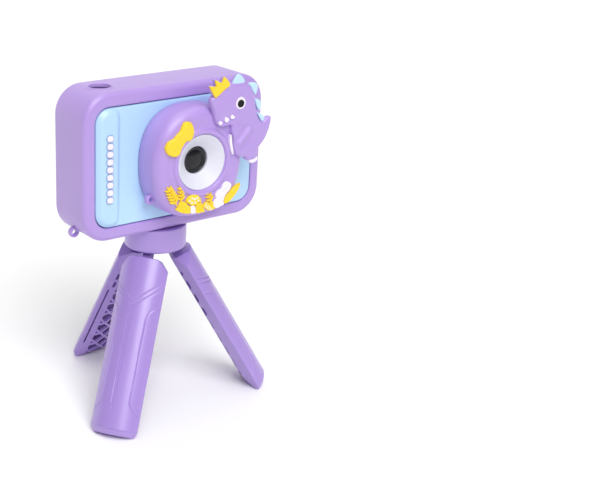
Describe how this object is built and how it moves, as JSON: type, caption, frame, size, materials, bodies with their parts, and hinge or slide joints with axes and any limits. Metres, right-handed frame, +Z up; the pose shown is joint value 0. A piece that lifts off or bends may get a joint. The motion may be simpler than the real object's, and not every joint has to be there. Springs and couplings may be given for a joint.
{
  "type": "kids digital camera on mini tripod",
  "caption": "Children's compact digital camera in a soft dinosaur sleeve, with press buttons and a rear screen, turning on the screw of a folding three-leg mini tripod.",
  "frame": {"origin": "on the standing surface, below the middle of the whole object's box", "axes": "+Z up, -Y out of the lens, +X to the right as seen from the front"},
  "size_m": [0.1034, 0.097, 0.1638],
  "materials": {
    "lilac_silicone": "satin",
    "lilac_plastic": "satin",
    "blue_plastic": "semi-gloss",
    "blue_silicone": "satin",
    "yellow_silicone": "satin",
    "white_plastic": "semi-gloss",
    "white_silicone": "satin",
    "black_gloss": "gloss",
    "dark_plastic": "matte",
    "circuit_board": "matte",
    "battery_wrap": "satin",
    "steel": "brushed",
    "brass": "machined"
  },
  "bodies": {
    "stand": {"tripod_head": "lilac_plastic", "leg_hub": "lilac_plastic", "camera_screw": "steel", "leg_pin_front": "steel", "leg_pin_right": "steel", "leg_pin_rear": "steel"},
    "front_leg": {"leg_front": "lilac_plastic"},
    "right_leg": {"leg_right": "lilac_plastic"},
    "rear_leg": {"leg_rear": "lilac_plastic"},
    "camera": {"back_spike_1": "blue_silicone", "back_spike_2": "blue_silicone", "back_spike_3": "blue_silicone", "back_spike_4": "blue_silicone", "battery": "battery_wrap", "belly": "white_silicone", "bow": "yellow_silicone", "card_slot": "steel", "cloud_flower": "white_silicone", "cover_screw_1": "steel", "cover_screw_2": "steel", "cover_screw_3": "steel", "crown": "yellow_silicone", "dino_eye": "white_silicone", "dino_figure": "lilac_silicone", "dino_pupil": "black_gloss", "foliage": "yellow_silicone", "front_cover": "blue_plastic", "grip_strip": "white_plastic", "image_sensor": "circuit_board", "lens_barrel": "dark_plastic", "lens_dish": "white_plastic", "lens_glass": "black_gloss", "lens_hood": "lilac_silicone", "lens_housing": "white_plastic", "long_leaf": "yellow_silicone", "main_board": "circuit_board", "memory_card": "dark_plastic", "microphone": "steel", "mushroom_stem": "white_silicone", "rear_cover": "white_plastic", "rear_window": "black_gloss", "screen_module": "dark_plastic", "selfie_camera": "dark_plastic", "selfie_lens": "black_gloss", "silicone_sleeve": "lilac_silicone", "speaker": "dark_plastic", "toes": "white_silicone", "tooth_1": "white_silicone", "tooth_2": "white_silicone", "tooth_3": "white_silicone", "tripod_nut": "brass", "usb_port": "steel", "viewfinder_cup": "lilac_silicone"},
    "shutter": {"shutter_button": "white_plastic"},
    "menu_key": {"menu_button": "white_plastic"},
    "pad_up_key": {"pad_up": "white_plastic"},
    "pad_down_key": {"pad_down": "white_plastic"},
    "pad_left_key": {"pad_left": "white_plastic"},
    "pad_right_key": {"pad_right": "white_plastic"}
  },
  "joints": [
    {"name": "camera_turn", "type": "hinge", "parent": "stand", "child": "camera", "pos_m": [-0.00197, -0.00877, 0.0891], "axis": [0, 0, 1], "range_deg": [-180, 180]},
    {"name": "front_leg_fold", "type": "hinge", "parent": "stand", "child": "front_leg", "pos_m": [-0.00726, -0.01253, 0.07985], "axis": [0.5793, -0.8151, 0], "range_deg": [0, 29.8]},
    {"name": "right_leg_fold", "type": "hinge", "parent": "stand", "child": "right_leg", "pos_m": [0.00394, -0.01147, 0.07985], "axis": [0.4163, 0.9092, 0], "range_deg": [0, 29.8]},
    {"name": "rear_leg_fold", "type": "hinge", "parent": "stand", "child": "rear_leg", "pos_m": [-0.00258, -0.00229, 0.07985], "axis": [-0.9956, -0.0941, 0], "range_deg": [0, 29.8]},
    {"name": "shutter_press", "type": "slide", "parent": "camera", "child": "shutter", "axis": [0, 0, -1], "range_m": [0, 0.0008], "stiffness_N_per_m": 500, "springref_m": -0.0004},
    {"name": "menu_press", "type": "slide", "parent": "camera", "child": "menu_key", "axis": [0, -1, 0], "range_m": [0, 0.0006], "stiffness_N_per_m": 400, "springref_m": -0.0004},
    {"name": "pad_up_press", "type": "slide", "parent": "camera", "child": "pad_up_key", "axis": [0, -1, 0], "range_m": [0, 0.0006], "stiffness_N_per_m": 400, "springref_m": -0.0004},
    {"name": "pad_down_press", "type": "slide", "parent": "camera", "child": "pad_down_key", "axis": [0, -1, 0], "range_m": [0, 0.0006], "stiffness_N_per_m": 400, "springref_m": -0.0004},
    {"name": "pad_left_press", "type": "slide", "parent": "camera", "child": "pad_left_key", "axis": [0, -1, 0], "range_m": [0, 0.0006], "stiffness_N_per_m": 400, "springref_m": -0.0004},
    {"name": "pad_right_press", "type": "slide", "parent": "camera", "child": "pad_right_key", "axis": [0, -1, 0], "range_m": [0, 0.0006], "stiffness_N_per_m": 400, "springref_m": -0.0004}
  ]
}
